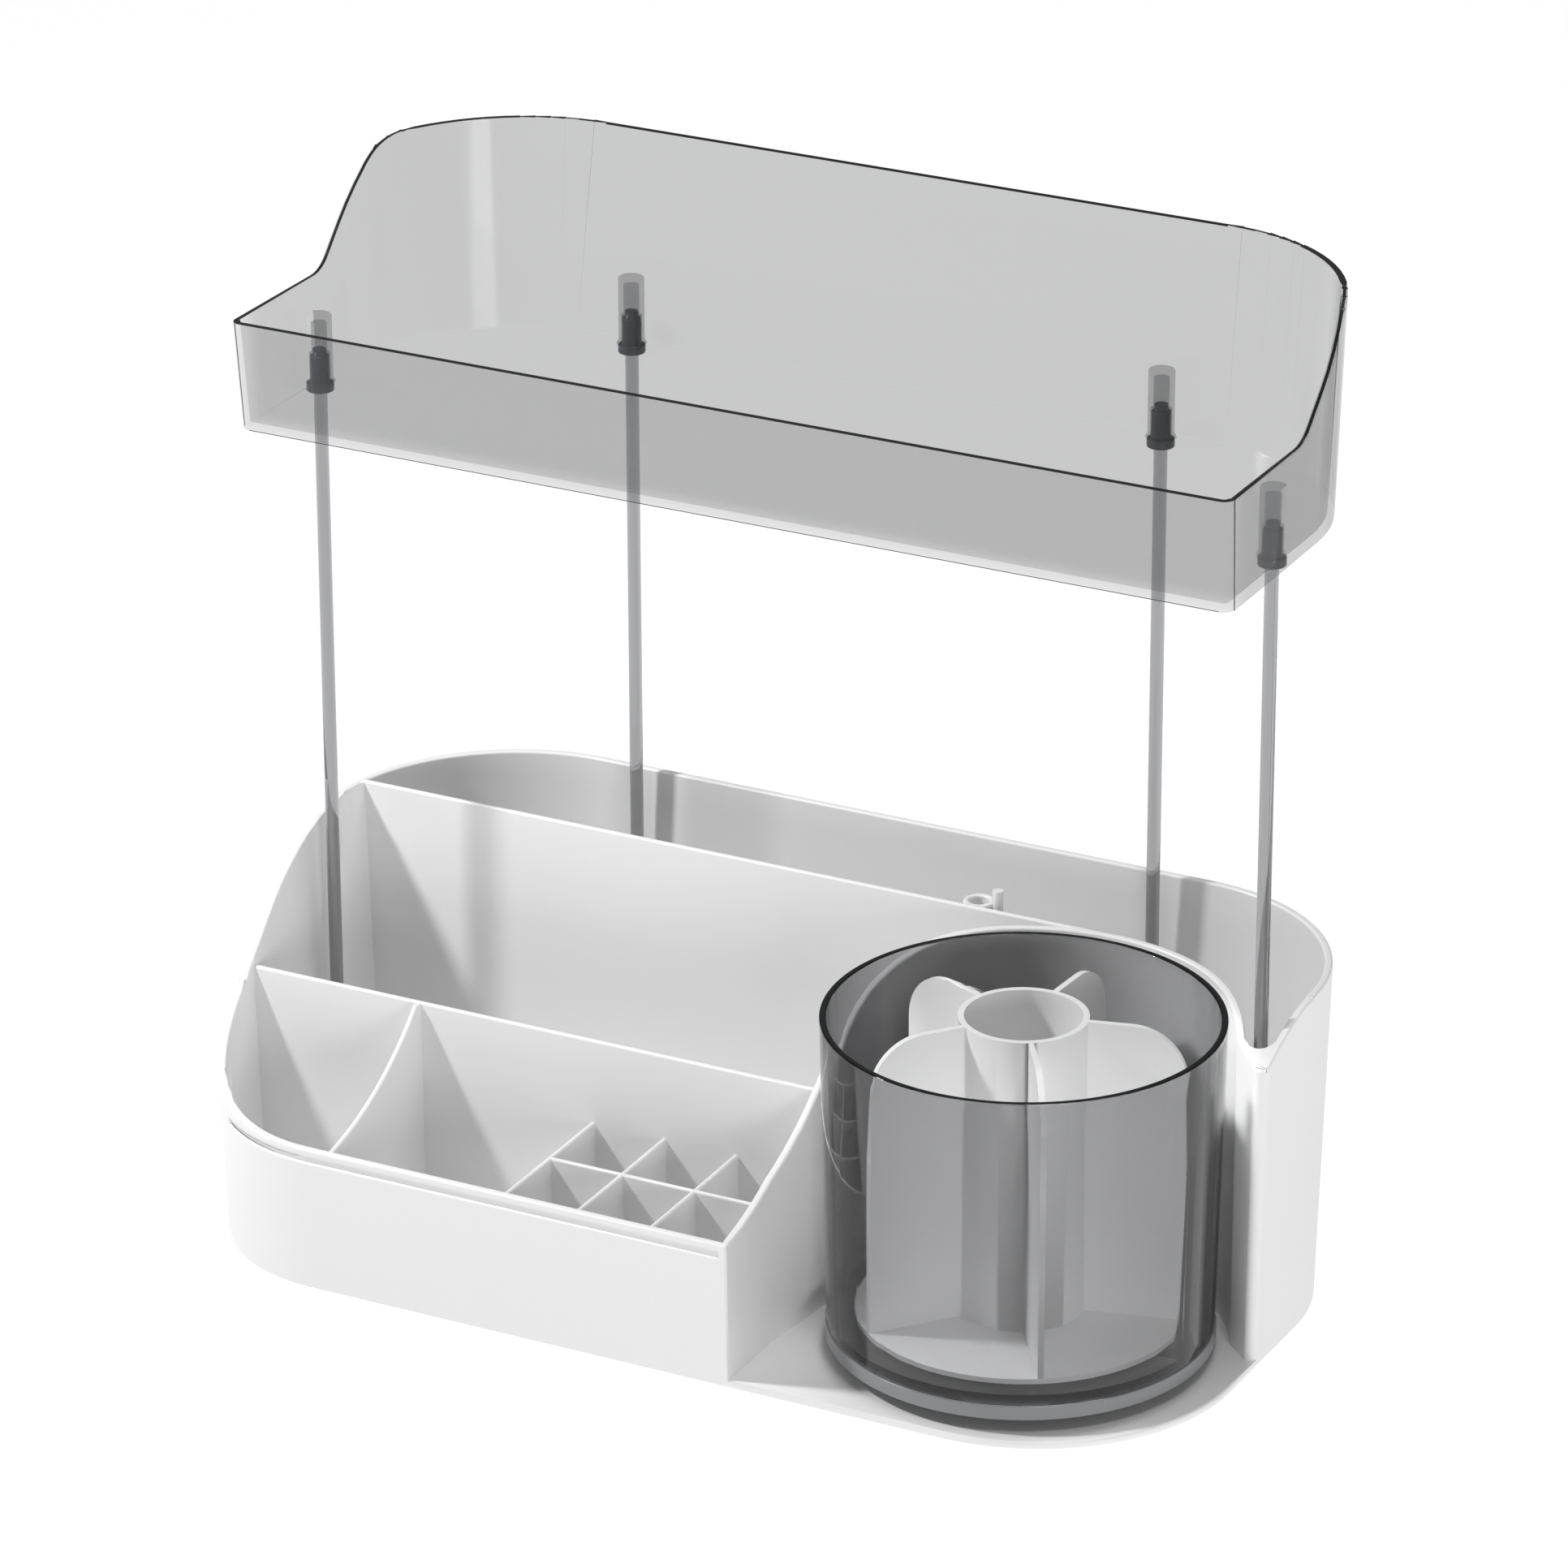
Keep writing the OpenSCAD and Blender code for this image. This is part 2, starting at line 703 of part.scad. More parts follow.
module at_balls() {
  for (i = [0:ball_count - 1])
    rotate([0, 0, i * 360 / ball_count]) translate([ball_circle_r, 0, 0]) children();
}

module bearing_balls() {
  color("lightgray")
    place()
      at_drum() at_balls() translate([0, 0, ball_z]) sphere(r = ball_r, $fn = 32);
}

// The ring that keeps the balls apart
module ball_cage() {
  color("dimgray")
    place()
      at_drum()
        translate([0, 0, cage_z])
          difference() {
            ring(ball_circle_r + cage_w / 2, ball_circle_r - cage_w / 2, cage_t);
            at_balls() translate([0, 0, -1]) cylinder(r = ball_r + 0.15, h = cage_t + 2);
          }
}

module pivot_pin() {
  color("silver")
    place()
      at_drum()
        difference() {
          union() {
            cylinder(r = pin_head_r, h = pin_head_t);
            cylinder(r = pin_r, h = pin_top);
          }
          translate([0, 0, clip_top - washer_t])
            ring(pin_r + 1, pin_r - clip_groove_d, washer_t);
        }
}

module pivot_washer() {
  color("silver")
    place()
      at_drum()
        translate([0, 0, recess_z]) ring(washer_r, pin_r + fit_gap, washer_t);
}

// An open ring that snaps into the pin's groove
module pivot_clip() {
  color("dimgray")
    place()
      at_drum()
        translate([0, 0, clip_top - washer_t])
          difference() {
            ring(washer_r - 1, pin_r - clip_groove_d + 0.05, washer_t);
            translate([0, -pin_r / 2, -1]) cube([washer_r, pin_r, washer_t + 2]);
          }
}

// Countersunk screws through the cup's floor into the disc
module cup_screws() {
  head_h = screw_head_r - screw_r;
  top = cup_z + cup_floor_t;
  color("silver")
    place()
      at_drum()
        at_screws() {
          translate([0, 0, disc_z + 0.7]) cylinder(r = screw_r, h = top - disc_z - 0.9);
          translate([0, 0, top - head_h]) cylinder(r1 = screw_r, r2 = screw_head_r, h = head_h);
        }
}

// A rubber pad set in its recess
module foot(i) {
  color("dimgray")
    place()
      translate([FOOT_AT[i][0], FOOT_AT[i][1], -foot_proud])
        cylinder(r = foot_r, h = foot_proud + foot_recess);
}

module foot_front_left() { foot(0); }
module foot_back_left() { foot(1); }
module foot_back_right() { foot(2); }
module foot_front_right() { foot(3); }

housing();
upper_tray();
post_front_left();
post_back_left();
post_back_right();
post_front_right();
post_cap_front_left();
post_cap_back_left();
post_cap_back_right();
post_cap_front_right();
drum_cup();
brush_insert();
turntable_disc();
turntable_race();
bearing_balls();
ball_cage();
pivot_pin();
pivot_washer();
pivot_clip();
cup_screws();
foot_front_left();
foot_back_left();
foot_back_right();
foot_front_right();
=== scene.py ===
# A two-tier makeup organizer: a white moulded base with compartments, a smoke-tinted
# brush cup on a turntable, and a smoke-tinted tray on four clear rods.
import json
import math
import bmesh
import bpy
from mathutils import Matrix, Vector

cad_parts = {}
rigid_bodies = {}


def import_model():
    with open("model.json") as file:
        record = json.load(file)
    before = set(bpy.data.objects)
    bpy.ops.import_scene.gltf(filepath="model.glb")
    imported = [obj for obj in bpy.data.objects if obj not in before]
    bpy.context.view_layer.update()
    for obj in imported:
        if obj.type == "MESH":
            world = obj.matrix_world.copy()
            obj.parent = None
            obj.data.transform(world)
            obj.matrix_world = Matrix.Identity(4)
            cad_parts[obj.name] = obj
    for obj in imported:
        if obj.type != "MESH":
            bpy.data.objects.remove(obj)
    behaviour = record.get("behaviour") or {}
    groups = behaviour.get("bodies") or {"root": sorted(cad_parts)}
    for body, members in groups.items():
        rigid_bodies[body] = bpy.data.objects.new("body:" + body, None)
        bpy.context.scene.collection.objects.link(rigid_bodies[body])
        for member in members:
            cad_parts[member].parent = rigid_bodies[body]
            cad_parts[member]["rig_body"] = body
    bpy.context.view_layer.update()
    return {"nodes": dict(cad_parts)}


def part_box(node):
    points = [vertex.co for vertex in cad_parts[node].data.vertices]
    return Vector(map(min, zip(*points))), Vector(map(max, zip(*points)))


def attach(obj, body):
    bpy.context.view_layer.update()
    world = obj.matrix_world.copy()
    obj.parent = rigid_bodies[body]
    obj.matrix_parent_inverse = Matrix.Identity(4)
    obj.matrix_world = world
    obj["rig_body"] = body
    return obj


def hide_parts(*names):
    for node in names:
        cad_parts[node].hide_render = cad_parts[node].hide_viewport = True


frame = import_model()


# ---- Base housing ----------------------------------------------------------------------
# One injection moulding in white ABS. The walls lean out a little so that it leaves
# its mould, and every free edge has the small round of a moulded rim.

HOUSING_RIM = 0.0008            # metres, the radius of the round on its free edges
MERGE_GAP = 2e-6                # metres between corners of triangles that are one corner
SHORTEST_EDGE = 0.0003          # metres: a shorter edge is part of a curve, and isn't rounded
SHARP_TURN = math.radians(50)   # an outward edge that turns more than this is rounded
SMOOTH_TURN = math.radians(35)  # an edge that turns less than this is shaded as a curve


def linear(hex_colour):
    """An sRGB hex colour as the linear RGBA that a shader socket takes."""
    parts = [int(hex_colour[i:i + 2], 16) / 255 for i in (0, 2, 4)]
    return [c / 12.92 if c <= 0.04045 else ((c + 0.055) / 1.055) ** 2.4 for c in parts] + [1.0]


def add_node(tree, kind, settings=None, links=None):
    """Adds a node to a tree, sets its fields and sockets, and links its inputs."""
    node = tree.nodes.new(kind)
    for name, value in (settings or {}).items():
        if name in node.inputs:
            node.inputs[name].default_value = value
        else:
            setattr(node, name, value)
    for name, socket in (links or {}).items():
        tree.links.new(socket, node.inputs[name])
    return node


def blank_material(name):
    """A new material and its empty node tree."""
    material = bpy.data.materials.new(name)
    material.use_nodes = True
    material.node_tree.nodes.clear()
    return material, material.node_tree


def dress(piece, material):
    """Gives a piece one material all over."""
    piece.data.materials.clear()
    piece.data.materials.append(material)


def moulded_copy(node_name, piece_name, rim_round, slide=True, flat_turn=0.6):
    """A copy of a CAD piece with its triangles merged into faces, its outward edges
    rounded and its curved walls shaded smooth. It stays inside the CAD piece's box.
    With slide, the rounds follow the edges beside them rather than keep one width.
    Faces that turn less than flat_turn degrees from each other become one face."""
    source = frame["nodes"][node_name]
    mesh = source.data.copy()
    piece = bpy.data.objects.new(piece_name, mesh)
    bpy.context.scene.collection.objects.link(piece)
    bm = bmesh.new()
    bm.from_mesh(mesh)
    bmesh.ops.remove_doubles(bm, verts=bm.verts, dist=MERGE_GAP)
    bmesh.ops.dissolve_limit(bm, angle_limit=math.radians(flat_turn),
                             verts=bm.verts, edges=bm.edges)
    weight = bm.edges.layers.float.new("bevel_weight_edge")
    for edge in bm.edges:
        if edge.is_manifold and edge.is_convex and edge.calc_length() > SHORTEST_EDGE:
            if edge.calc_face_angle() > SHARP_TURN:
                edge[weight] = 1.0
    bm.to_mesh(mesh)
    bm.free()
    bpy.ops.object.select_all(action="DESELECT")
    piece.select_set(True)
    bpy.context.view_layer.objects.active = piece
    if rim_round:
        bevel = piece.modifiers.new("rim", "BEVEL")
        bevel.width = rim_round
        bevel.segments = 3
        bevel.limit_method = "WEIGHT"
        bevel.use_clamp_overlap = False
        bevel.loop_slide = slide
        bpy.ops.object.modifier_apply(modifier="rim")
        low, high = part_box(node_name)
        for vertex in piece.data.vertices:
            vertex.co = [min(max(vertex.co[i], low[i]), high[i]) for i in range(3)]
    bpy.ops.object.shade_smooth_by_angle(angle=SMOOTH_TURN)
    # Large flat faces keep their own direction, so that no shade spreads from their edges
    even = piece.modifiers.new("even", "WEIGHTED_NORMAL")
    even.keep_sharp = True
    even.weight = 100
    bpy.ops.object.modifier_apply(modifier="even")
    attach(piece, source["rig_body"])
    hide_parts(node_name)
    return piece


# Moulded ABS: an even white with a satin gloss. The mould's fine texture, 0.4 mm across
# (2500 to the metre), softens its highlights, and sink over some 40 mm (25 to the metre)
# makes them a little uneven.
white_abs, tree = blank_material("white_abs")
place = add_node(tree, "ShaderNodeTexCoord").outputs["Object"]
texture = add_node(tree, "ShaderNodeTexNoise", {"Scale": 2500.0, "Detail": 2.0},
                   {"Vector": place})
sink = add_node(tree, "ShaderNodeTexNoise", {"Scale": 25.0, "Detail": 1.0},
                {"Vector": place})
satin = add_node(tree, "ShaderNodeMapRange", {"To Min": 0.30, "To Max": 0.42},
                 {"Value": sink.outputs["Fac"]})
bump = add_node(tree, "ShaderNodeBump", {"Strength": 0.03, "Distance": 0.0001},
                {"Height": texture.outputs["Fac"]})
abs_skin = add_node(tree, "ShaderNodeBsdfPrincipled",
                    {"Base Color": linear("f2f2f2"), "IOR": 1.53},
                    {"Roughness": satin.outputs["Result"], "Normal": bump.outputs["Normal"]})
add_node(tree, "ShaderNodeOutputMaterial", links={"Surface": abs_skin.outputs["BSDF"]})

housing = moulded_copy("housing", "housing_shell", HOUSING_RIM)
dress(housing, white_abs)


# ---- Upper tray ------------------------------------------------------------------------
# One moulding in smoke-tinted clear polystyrene, standing on the rods' caps. Its rim
# is polished flat, and the dark line it shows where the eye looks along the wall is painted
# shade.

TRAY_RIM = 0.0005               # metres, the radius of the round on its edges
FRONT_WALL_Y = -0.0325          # the tint is clearest from here forward, in the front wall,
FULL_TINT_Y = -0.022            # and full from here back
CLEAREST, FULL = 0.14, 0.27     # the part of the light that a wall stops at these two

# Polystyrene from a polished mould: a clear grey with a sharp gloss that wavers over some
# 55 mm (18 to the metre) with the melt's flow. A wall darkens where it curves away,
# because the light crosses it slantwise there.
tray_smoke, tree = blank_material("tray_smoke")
place = add_node(tree, "ShaderNodeTexCoord").outputs["Object"]
axes = add_node(tree, "ShaderNodeSeparateXYZ", links={"Vector": place})
tint = add_node(tree, "ShaderNodeMapRange",
                {"From Min": FRONT_WALL_Y, "From Max": FULL_TINT_Y,
                 "To Min": CLEAREST, "To Max": FULL},
                {"Value": axes.outputs["Y"]})
slant = add_node(tree, "ShaderNodeLayerWeight", {"Blend": 0.5})
depth = add_node(tree, "ShaderNodeMapRange",
                 {"From Min": 0.70, "From Max": 0.98, "To Min": 0.0, "To Max": 0.6},
                 {"Value": slant.outputs["Facing"]})
cover = add_node(tree, "ShaderNodeMath", {"operation": "ADD", "use_clamp": True},
                 {0: tint.outputs["Result"], 1: depth.outputs["Result"]})
flow = add_node(tree, "ShaderNodeTexNoise", {"Scale": 18.0, "Detail": 1.0},
                {"Vector": place})
polish = add_node(tree, "ShaderNodeMapRange", {"To Min": 0.05, "To Max": 0.12},
                  {"Value": flow.outputs["Fac"]})
tray_skin = add_node(tree, "ShaderNodeBsdfPrincipled",
                     {"Base Color": linear("4c4d50"), "IOR": 1.5},
                     {"Roughness": polish.outputs["Result"], "Alpha": cover.outputs["Value"]})
add_node(tree, "ShaderNodeOutputMaterial", links={"Surface": tray_skin.outputs["BSDF"]})

# Painted shade for the edge of the same plastic, where the light crosses the wall the long
# way: the faces are painted nearly black, and a little glossy, with polishing marks 3 mm
# apart (300 to the metre).
painted_edge_shade, tree = blank_material("painted_edge_shade")
place = add_node(tree, "ShaderNodeTexCoord").outputs["Object"]
marks = add_node(tree, "ShaderNodeTexNoise", {"Scale": 300.0, "Detail": 1.0},
                 {"Vector": place})
polish = add_node(tree, "ShaderNodeMapRange", {"To Min": 0.10, "To Max": 0.25},
                  {"Value": marks.outputs["Fac"]})
edge_skin = add_node(tree, "ShaderNodeBsdfPrincipled",
                     {"Base Color": linear("1c1d1e"), "IOR": 1.5},
                     {"Roughness": polish.outputs["Result"]})
add_node(tree, "ShaderNodeOutputMaterial", links={"Surface": edge_skin.outputs["BSDF"]})

tray = moulded_copy("upper_tray", "upper_tray_shell", TRAY_RIM, slide=False)
dress(tray, tray_smoke)
tray.data.materials.append(painted_edge_shade)
tray.visible_shadow = False

LOWEST_RIM = 0.028              # metres over the underside: the rim is all above this
LEVEL = 0.985                   # a level face's normal points up or down by more than this
RIM_RISE = 0.6                  # the rim's normal points up by more than this on its slopes,
RIM_TWIST = 0.04                # and there it points sideways by less than this
WALL_REACH = 0.004              # metres from the tray's box to the outer walls' faces
UNDER_REACH = 0.0006            # metres of round between the walls and the underside,
UNDER_DIP = 0.1                 # whose normals point down by more than this
UNDER_BACK_Y = -0.012           # the painted dark line of that round ends here
CORNER_REACH = 0.005            # metres from the tray's front to its front corners
CORNER_TURN = (0.965, 0.997)    # how far sideways their normals point by the ends

tray_low, tray_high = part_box("upper_tray")
# These faces get the near-black edge material: painted shade on the rim, under the walls and at
# the front corners
for face in tray.data.polygons:
    center, normal = face.center, face.normal
    rim = (center.z > tray_low[2] + LOWEST_RIM and normal.z > RIM_RISE
           and (normal.z > LEVEL or abs(normal.x) < RIM_TWIST))
    outer = (center.y < tray_low[1] + WALL_REACH or center.x < tray_low[0] + WALL_REACH
             or center.x > tray_high[0] - WALL_REACH)
    under = (outer and center.y < UNDER_BACK_Y and center.z < tray_low[2] + UNDER_REACH
             and -LEVEL < normal.z < -UNDER_DIP)
    # The front corners' walls bend the light just before they turn into the ends; the dark
    # line painted there stands for that bent light
    corner = (normal.y < 0 and CORNER_TURN[0] < abs(normal.x) < CORNER_TURN[1]
              and center.y < tray_low[1] + CORNER_REACH)
    if rim or under or corner:
        face.material_index = 1


# ---- Brush cup and turntable disc ------------------------------------------------------
# The cup is a heavier moulding in the same smoke-tinted plastic, clear enough to show
# the insert. It is screwed to the turntable's disc, a ring of denser smoke plastic.

CUP_RIM = 0.0004                # metres, the radius of the round on the cup's edges
CUP_RIM_DEPTH = 0.0005          # metres under the cup's top: its flat rim is all above this
DISC_RIM = 0.0003

# Polystyrene so thick that it acts as glass: it bends what is seen through it, and its
# dye stops part of the light on the way. The mould's polish wavers over some 55 mm (18 to
# the metre), which hardly shows.
cup_smoke, tree = blank_material("cup_smoke")
place = add_node(tree, "ShaderNodeTexCoord").outputs["Object"]
flow = add_node(tree, "ShaderNodeTexNoise", {"Scale": 18.0, "Detail": 1.0},
                {"Vector": place})
polish = add_node(tree, "ShaderNodeMapRange", {"To Min": 0.02, "To Max": 0.05},
                  {"Value": flow.outputs["Fac"]})
cup_skin = add_node(tree, "ShaderNodeBsdfPrincipled",
                    {"Base Color": linear("ffffff"), "IOR": 1.5, "Transmission Weight": 1.0},
                    {"Roughness": polish.outputs["Result"]})
dye = add_node(tree, "ShaderNodeVolumeAbsorption", {"Color": linear("8a8b8f"), "Density": 520.0})
add_node(tree, "ShaderNodeOutputMaterial",
         links={"Surface": cup_skin.outputs["BSDF"], "Volume": dye.outputs["Volume"]})

cup = moulded_copy("drum_cup", "drum_cup_shell", CUP_RIM)
dress(cup, cup_smoke)
cup.data.materials.append(painted_edge_shade)
cup.visible_shadow = False
cup_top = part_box("drum_cup")[1][2]
# The cup's flat rim gets the near-black edge material: painted shade for the light lost along
# the wall
for face in cup.data.polygons:
    if face.normal.z > LEVEL and face.center.z > cup_top - CUP_RIM_DEPTH:
        face.material_index = 1

# The same plastic with more dye, which hides the balls: a mid grey with a satin face,
# cloudy over some 17 mm (60 to the metre).
disc_smoke, tree = blank_material("disc_smoke")
place = add_node(tree, "ShaderNodeTexCoord").outputs["Object"]
cloud = add_node(tree, "ShaderNodeTexNoise", {"Scale": 60.0, "Detail": 2.0},
                 {"Vector": place})
satin = add_node(tree, "ShaderNodeMapRange", {"To Min": 0.2, "To Max": 0.32},
                 {"Value": cloud.outputs["Fac"]})
disc_skin = add_node(tree, "ShaderNodeBsdfPrincipled",
                     {"Base Color": linear("858688"), "IOR": 1.5},
                     {"Roughness": satin.outputs["Result"]})
add_node(tree, "ShaderNodeOutputMaterial", links={"Surface": disc_skin.outputs["BSDF"]})

disc = moulded_copy("turntable_disc", "turntable_disc_ring", DISC_RIM)
dress(disc, disc_smoke)


# ---- Brush insert ----------------------------------------------------------------------
# A tube with five vanes on a round floor, moulded in the base's white ABS. It stands
# loose in the cup. Its edges stay sharp: a round leaves spikes where vanes meet the tube.

insert = moulded_copy("brush_insert", "brush_insert_vanes", 0.0, flat_turn=0.05)
dress(insert, white_abs)


# ---- Rods ------------------------------------------------------------------------------
# Four extruded smoke-tinted acrylic rods, cut to length, polished and pressed into the
# base's sockets.

CORNERS = ("front_left", "back_left", "back_right", "front_right")

# Extruded acrylic: clear as glass with a little dye, so that each rod is a thin grey
# lens. The draw through the die wavers over some 17 mm (60 to the metre).
rod_smoke, tree = blank_material("rod_smoke")
place = add_node(tree, "ShaderNodeTexCoord").outputs["Object"]
draw = add_node(tree, "ShaderNodeTexNoise", {"Scale": 60.0, "Detail": 1.0},
                {"Vector": place})
polish = add_node(tree, "ShaderNodeMapRange", {"To Min": 0.02, "To Max": 0.06},
                  {"Value": draw.outputs["Fac"]})
rod_skin = add_node(tree, "ShaderNodeBsdfPrincipled",
                    {"Base Color": linear("ffffff"), "IOR": 1.49, "Transmission Weight": 1.0},
                    {"Roughness": polish.outputs["Result"]})
dye = add_node(tree, "ShaderNodeVolumeAbsorption", {"Color": linear("8a8b8f"), "Density": 335.0})
add_node(tree, "ShaderNodeOutputMaterial",
         links={"Surface": rod_skin.outputs["BSDF"], "Volume": dye.outputs["Volume"]})

for corner in CORNERS:
    rod = moulded_copy("post_" + corner, "rod_" + corner, 0.0)
    dress(rod, rod_smoke)


# ---- Caps, race and cage ---------------------------------------------------------------
# Grey acetal mouldings. The caps are pushed over the rods and carry the tray, and the
# race and the cage carry the turntable's balls.

SMALL_RIM = 0.0002              # metres, the radius of the round on small parts

# Moulded acetal: a dark grey with a waxy sheen, clouded over 2.5 mm (400 to the metre).
grey_acetal, tree = blank_material("grey_acetal")
place = add_node(tree, "ShaderNodeTexCoord").outputs["Object"]
cloud = add_node(tree, "ShaderNodeTexNoise", {"Scale": 400.0, "Detail": 2.0},
                 {"Vector": place})
wax = add_node(tree, "ShaderNodeMapRange", {"To Min": 0.35, "To Max": 0.5},
               {"Value": cloud.outputs["Fac"]})
acetal_skin = add_node(tree, "ShaderNodeBsdfPrincipled",
                       {"Base Color": linear("2f3033"), "IOR": 1.48},
                       {"Roughness": wax.outputs["Result"]})
add_node(tree, "ShaderNodeOutputMaterial", links={"Surface": acetal_skin.outputs["BSDF"]})

for corner in CORNERS:
    cap = moulded_copy("post_cap_" + corner, "cap_" + corner, SMALL_RIM)
    dress(cap, grey_acetal)
race = moulded_copy("turntable_race", "turntable_race_ring", SMALL_RIM)
dress(race, grey_acetal)
cage = moulded_copy("ball_cage", "ball_cage_ring", 0.0)
dress(cage, grey_acetal)


# ---- Balls, pin, washer, clip and screws -----------------------------------------------
# The balls are ground bearing steel. The pin with its washer and clip, which holds the
# disc down, and the screws that join cup and disc are zinc-plated steel.

FASTENER_RIM = 0.0001           # metres, the radius of the round on the fasteners

# Ground and lapped steel: a bright mirror with a haze 0.7 mm across (1500 to the metre).
bearing_steel, tree = blank_material("bearing_steel")
place = add_node(tree, "ShaderNodeTexCoord").outputs["Object"]
lap = add_node(tree, "ShaderNodeTexNoise", {"Scale": 1500.0}, {"Vector": place})
haze = add_node(tree, "ShaderNodeMapRange", {"To Min": 0.08, "To Max": 0.16},
                {"Value": lap.outputs["Fac"]})
steel_skin = add_node(tree, "ShaderNodeBsdfPrincipled",
                      {"Base Color": linear("c9cacc"), "Metallic": 1.0},
                      {"Roughness": haze.outputs["Result"]})
add_node(tree, "ShaderNodeOutputMaterial", links={"Surface": steel_skin.outputs["BSDF"]})

balls = moulded_copy("bearing_balls", "bearing_ball_set", 0.0)
dress(balls, bearing_steel)

# Barrel-plated zinc: a pale metal with a dulled shine, finely mottled at 1.1 mm (900 to
# the metre).
zinc_plate, tree = blank_material("zinc_plate")
place = add_node(tree, "ShaderNodeTexCoord").outputs["Object"]
mottle = add_node(tree, "ShaderNodeTexNoise", {"Scale": 900.0, "Detail": 3.0},
                  {"Vector": place})
haze = add_node(tree, "ShaderNodeMapRange", {"To Min": 0.28, "To Max": 0.45},
                {"Value": mottle.outputs["Fac"]})
zinc_skin = add_node(tree, "ShaderNodeBsdfPrincipled",
                     {"Base Color": linear("c3c5c6"), "Metallic": 1.0},
                     {"Roughness": haze.outputs["Result"]})
add_node(tree, "ShaderNodeOutputMaterial", links={"Surface": zinc_skin.outputs["BSDF"]})

for fastener in ("pivot_pin", "pivot_washer", "pivot_clip", "cup_screws"):
    metal = moulded_copy(fastener, fastener + "_metal", FASTENER_RIM)
    dress(metal, zinc_plate)


# ---- Feet ------------------------------------------------------------------------------
# Four round pads die-cut from rubber sheet and glued into recesses under the base, to
# keep it from sliding.

# Rubber sheet: a matt near-black with a crumb 0.8 mm across (1200 to the metre).
foot_rubber, tree = blank_material("foot_rubber")
place = add_node(tree, "ShaderNodeTexCoord").outputs["Object"]
crumb = add_node(tree, "ShaderNodeTexNoise", {"Scale": 1200.0, "Detail": 3.0},
                 {"Vector": place})
bump = add_node(tree, "ShaderNodeBump", {"Strength": 0.2, "Distance": 0.0002},
                {"Height": crumb.outputs["Fac"]})
rubber_skin = add_node(tree, "ShaderNodeBsdfPrincipled",
                       {"Base Color": linear("3a3a3b"), "Roughness": 0.75},
                       {"Normal": bump.outputs["Normal"]})
add_node(tree, "ShaderNodeOutputMaterial", links={"Surface": rubber_skin.outputs["BSDF"]})

for corner in CORNERS:
    foot = moulded_copy("foot_" + corner, "pad_" + corner, SMALL_RIM)
    dress(foot, foot_rubber)


# ---- Studio ----------------------------------------------------------------------------
# A white paper table that glows as a light table does, so that it is white all over and
# lights the walls from below, with a white backdrop and five soft lamps.

TABLE_SIZE = 40.0               # metres
TABLE_GLOW = 0.97               # with what the paper reflects, this comes out just white
BACKDROP_RADIUS = 19.0          # metres
BACKDROP_HEIGHT = 24.0          # metres, half of it under the table
SURROUND = 0.12                 # the strength of the even light from all around
CUP_MIDDLE = (0.09, -0.03, 0.05)    # the middle of the brush cup, where three lamps aim

bpy.ops.object.select_all(action="DESELECT")
bpy.ops.mesh.primitive_plane_add(size=TABLE_SIZE, location=(0, 0, 0))
table = bpy.context.object
table.name = "studio_table"

# Matt paper, even and without grain. Its glow isn't sampled as a lamp, which would only
# add noise to so even a light.
white_paper, tree = blank_material("white_paper")
paper_skin = add_node(tree, "ShaderNodeBsdfPrincipled",
                      {"Base Color": linear("5a5a5a"), "Roughness": 0.9,
                       "Emission Color": linear("ffffff"), "Emission Strength": TABLE_GLOW})
add_node(tree, "ShaderNodeOutputMaterial", links={"Surface": paper_skin.outputs["BSDF"]})
white_paper.cycles.emission_sampling = "NONE"
table.data.materials.append(white_paper)

# The backdrop shows only where a low view looks out over the table. It lights nothing
# and reflects in nothing.
bpy.ops.mesh.primitive_cylinder_add(radius=BACKDROP_RADIUS, depth=BACKDROP_HEIGHT,
                                    end_fill_type="NGON")
backdrop = bpy.context.object
backdrop.name = "studio_backdrop"
backdrop.data.materials.append(white_paper)
backdrop.visible_diffuse = False
backdrop.visible_glossy = False
backdrop.visible_transmission = False
backdrop.visible_shadow = False

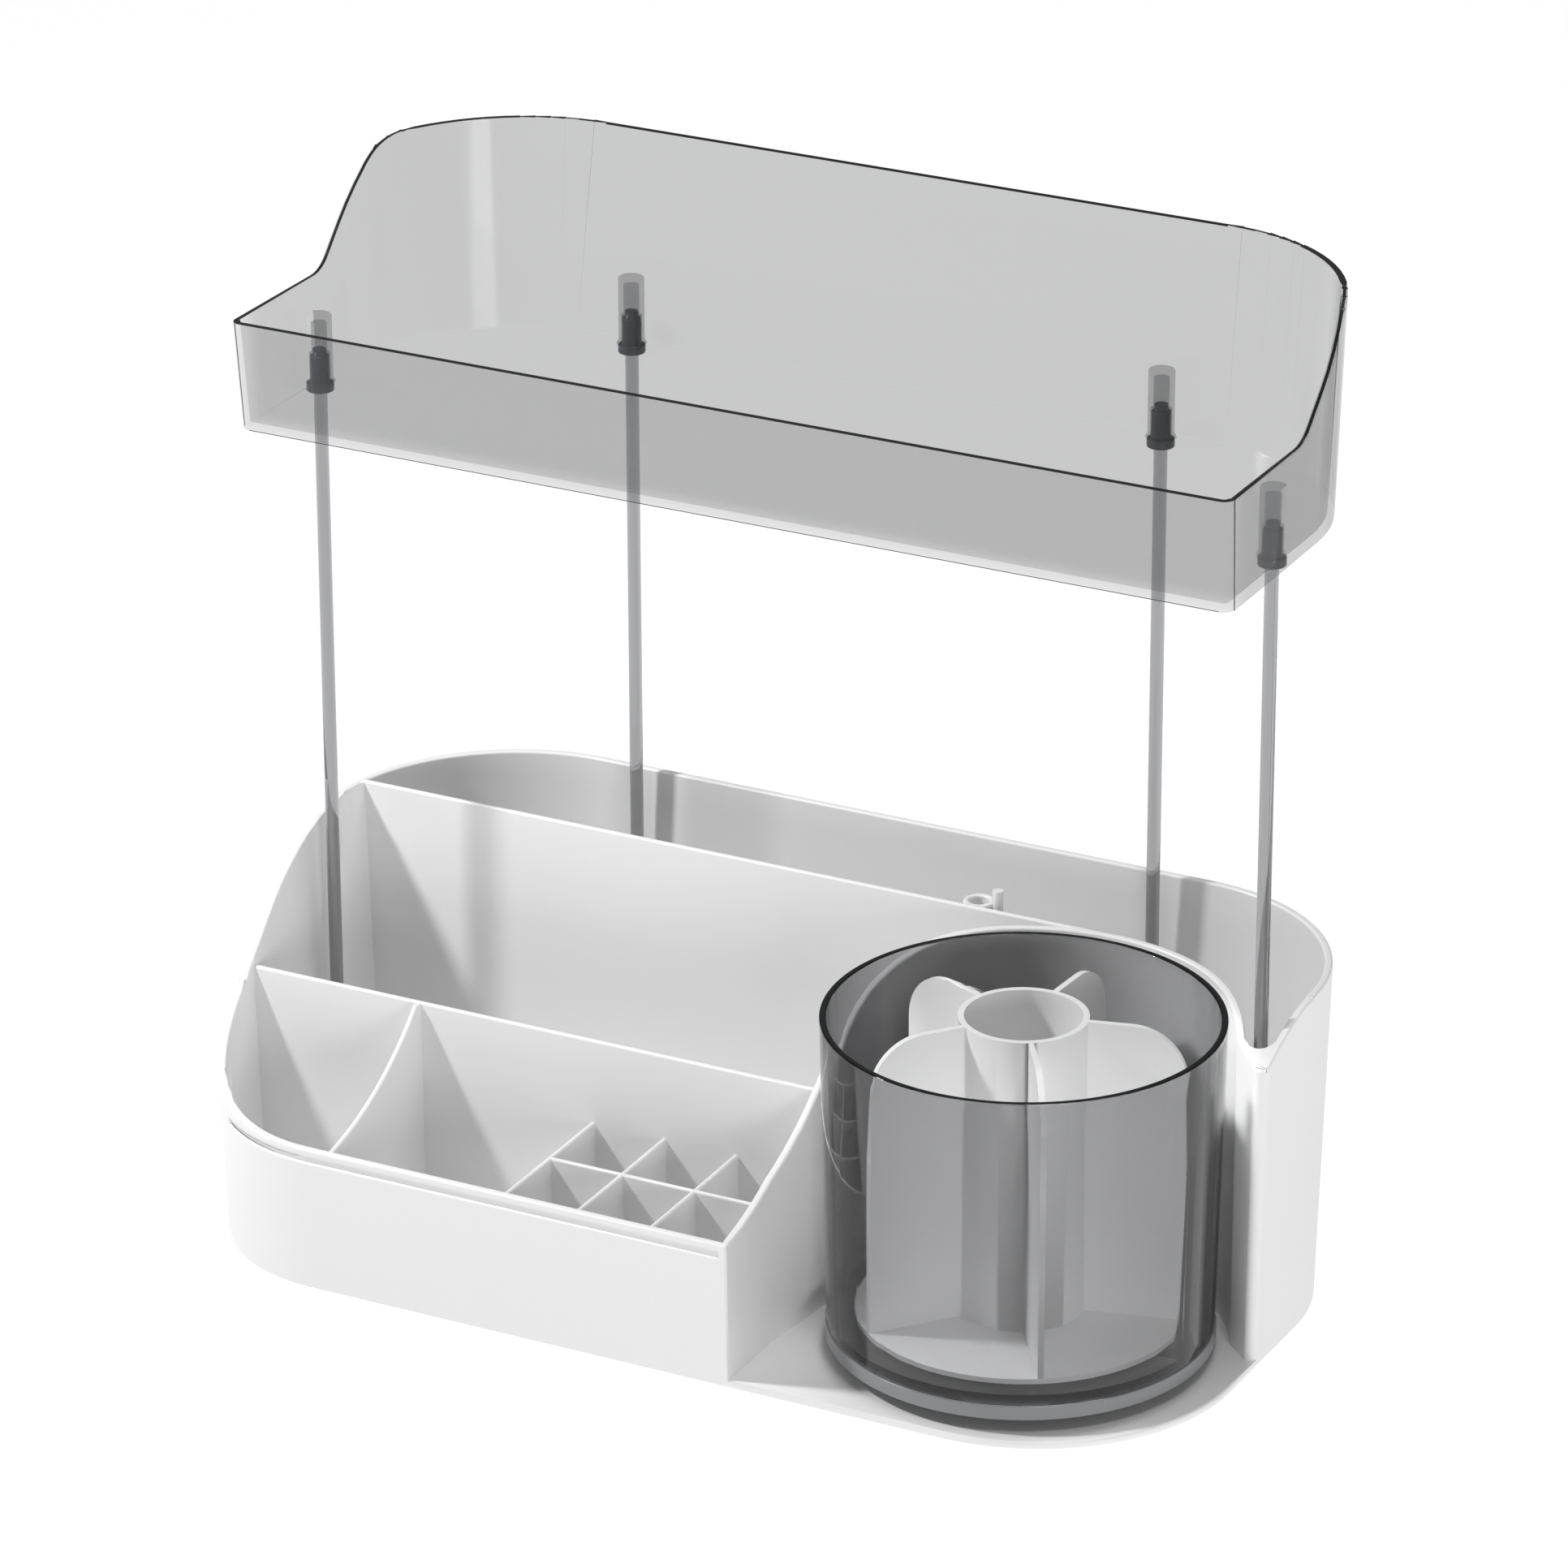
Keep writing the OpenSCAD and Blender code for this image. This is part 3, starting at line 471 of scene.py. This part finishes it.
world = bpy.data.worlds.new("studio")
bpy.context.scene.world = world
world.use_nodes = True
world.node_tree.nodes["Background"].inputs["Color"].default_value = (1, 1, 1, 1)
world.node_tree.nodes["Background"].inputs["Strength"].default_value = SURROUND


def softbox(name, position, aim, size, watts):
    """A square lamp at a position, aimed at a point, in metres."""
    bpy.ops.object.light_add(type="AREA", location=position)
    lamp = bpy.context.object
    lamp.name = name
    lamp.data.size = size
    lamp.data.energy = watts
    lamp.rotation_euler = (Vector(aim) - lamp.location).to_track_quat("-Z", "Y").to_euler()


softbox("key", (-0.44, -0.23, 0.56), aim=(0, 0, 0.08), size=0.06, watts=3.5)
softbox("right_fill", (1.5, 0.5, 0.35), aim=(0, 0, 0.1), size=0.8, watts=2.0)
softbox("near_top", (0.30, -0.25, 0.75), aim=CUP_MIDDLE, size=0.2, watts=1.0)
softbox("low_right", (0.6, -0.6, 0.1), aim=CUP_MIDDLE, size=0.25, watts=1.5)
softbox("top_back", (0.12, 0.22, 0.85), aim=CUP_MIDDLE, size=0.3, watts=1.4)

# The photograph's camera, fitted to its outlines together with the sizes
CAMERA_PLACE = (0.96212, -1.85255, 1.05128)
CAMERA_LENS = 181.48            # millimetres, on a sensor 36 mm wide
CAMERA_TURN = 27.38             # degrees to the right, seen from the front
CAMERA_RISE = 23.378            # degrees that it looks down
CAMERA_ROLL = -0.163            # degrees
CAMERA_REACH = 20               # metres, farther than any part of the table in its picture

camera = bpy.data.objects.new("camera", bpy.data.cameras.new("camera"))
bpy.context.scene.collection.objects.link(camera)
camera.data.sensor_width = 36
camera.data.lens = CAMERA_LENS
camera.data.clip_end = CAMERA_REACH
camera.location = CAMERA_PLACE
turn = (Matrix.Rotation(math.radians(CAMERA_TURN), 3, "Z")
        @ Matrix.Rotation(math.radians(90 - CAMERA_RISE), 3, "X")
        @ Matrix.Rotation(math.radians(CAMERA_ROLL), 3, "Z"))
camera.rotation_euler = turn.to_euler()
bpy.context.scene.camera = camera
bpy.context.scene.view_settings.view_transform = "Standard"
